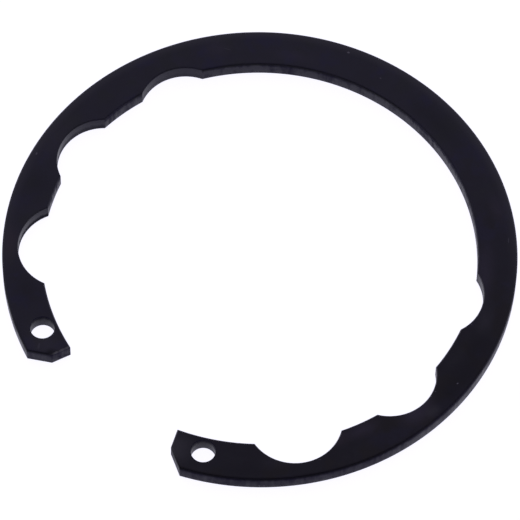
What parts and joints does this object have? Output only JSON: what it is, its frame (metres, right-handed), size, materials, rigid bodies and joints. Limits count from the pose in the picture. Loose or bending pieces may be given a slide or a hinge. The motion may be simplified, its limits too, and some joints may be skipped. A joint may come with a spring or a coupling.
{
  "type": "internal retaining ring",
  "caption": "Flat spring-steel retaining ring for a bore: open at one side, a plier hole in each lug and scallops cut into the inner edge beside the lugs.",
  "frame": {"origin": "on the axis of the ring's outer rim, half way through its thickness", "axes": "+Z along the ring's axis, square to its flat faces; -Y towards the middle of the gap between the lugs; +X to the right-hand lug"},
  "size_m": [0.0592, 0.0569, 0.002],
  "materials": {
    "spring_steel": "black phosphated and lightly oiled spring steel, smooth flat faces, stamped edge walls a little lighter and rougher"
  },
  "bodies": {
    "root": {"retaining_ring": "spring_steel"}
  },
  "joints": []
}
